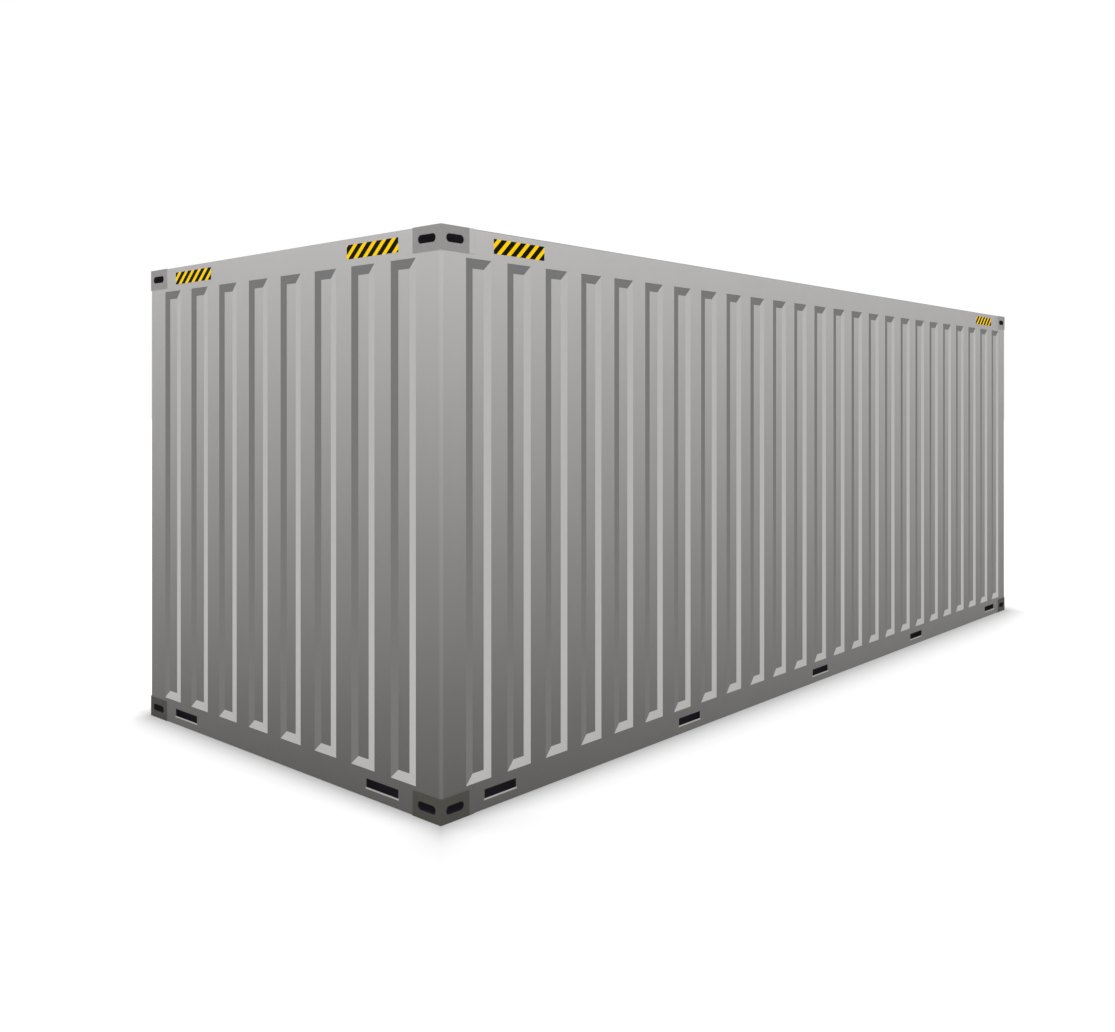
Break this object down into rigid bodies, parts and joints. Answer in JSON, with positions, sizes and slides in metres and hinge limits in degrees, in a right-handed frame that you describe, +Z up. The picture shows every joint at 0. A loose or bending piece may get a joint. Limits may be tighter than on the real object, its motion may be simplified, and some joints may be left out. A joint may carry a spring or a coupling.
{
  "type": "shipping container",
  "caption": "Closed steel freight container with grooved walls, hollow corner castings, slotted bottom rails and double doors at the rear end.",
  "frame": {"origin": "on the ground under the middle of the container, at the bottom centre of its box", "axes": "+X along the length from the closed front end to the doors, +Y to the right for a viewer who stands outside the doors and faces them, +Z up"},
  "size_m": [6.058, 2.438, 2.438],
  "materials": {
    "wall_paint": "matt grey coach paint on pressed steel sheet, lightly dusted and grimed",
    "frame_paint": "matt grey coach paint on welded steel sections, worn along the edges",
    "casting_paint": "dark grey paint on rough cast steel",
    "gear_steel": "dull galvanised steel, painted over in places",
    "gasket_rubber": "black door seal",
    "deck_wood": "worn hardwood plywood boards"
  },
  "bodies": {
    "root": {"bottom_rail_left": "frame_paint", "bottom_rail_right": "frame_paint", "cam_keepers": "gear_steel", "casting_door_left_bottom": "casting_paint", "casting_door_left_top": "casting_paint", "casting_door_right_bottom": "casting_paint", "casting_door_right_top": "casting_paint", "casting_front_left_bottom": "casting_paint", "casting_front_left_top": "casting_paint", "casting_front_right_bottom": "casting_paint", "casting_front_right_top": "casting_paint", "cross_members": "frame_paint", "door_frame_left": "frame_paint", "door_frame_right": "frame_paint", "door_gasket_left": "gasket_rubber", "door_gasket_right": "gasket_rubber", "door_header": "frame_paint", "door_panel_left": "wall_paint", "door_panel_right": "wall_paint", "door_post_left": "frame_paint", "door_post_right": "frame_paint", "door_sill": "frame_paint", "floor_deck": "deck_wood", "front_header": "frame_paint", "front_panel": "wall_paint", "front_post_left": "frame_paint", "front_post_right": "frame_paint", "front_sill": "frame_paint", "handle_catches": "gear_steel", "handles_left": "gear_steel", "handles_right": "gear_steel", "hinges_left": "gear_steel", "hinges_right": "gear_steel", "lock_rod_left_inner": "gear_steel", "lock_rod_left_outer": "gear_steel", "lock_rod_right_inner": "gear_steel", "lock_rod_right_outer": "gear_steel", "rod_brackets": "gear_steel", "roof_panel": "wall_paint", "roof_plate_door": "wall_paint", "roof_plate_front": "wall_paint", "side_panel_left": "wall_paint", "side_panel_right": "wall_paint", "top_rail_left": "frame_paint", "top_rail_right": "frame_paint"}
  },
  "joints": []
}
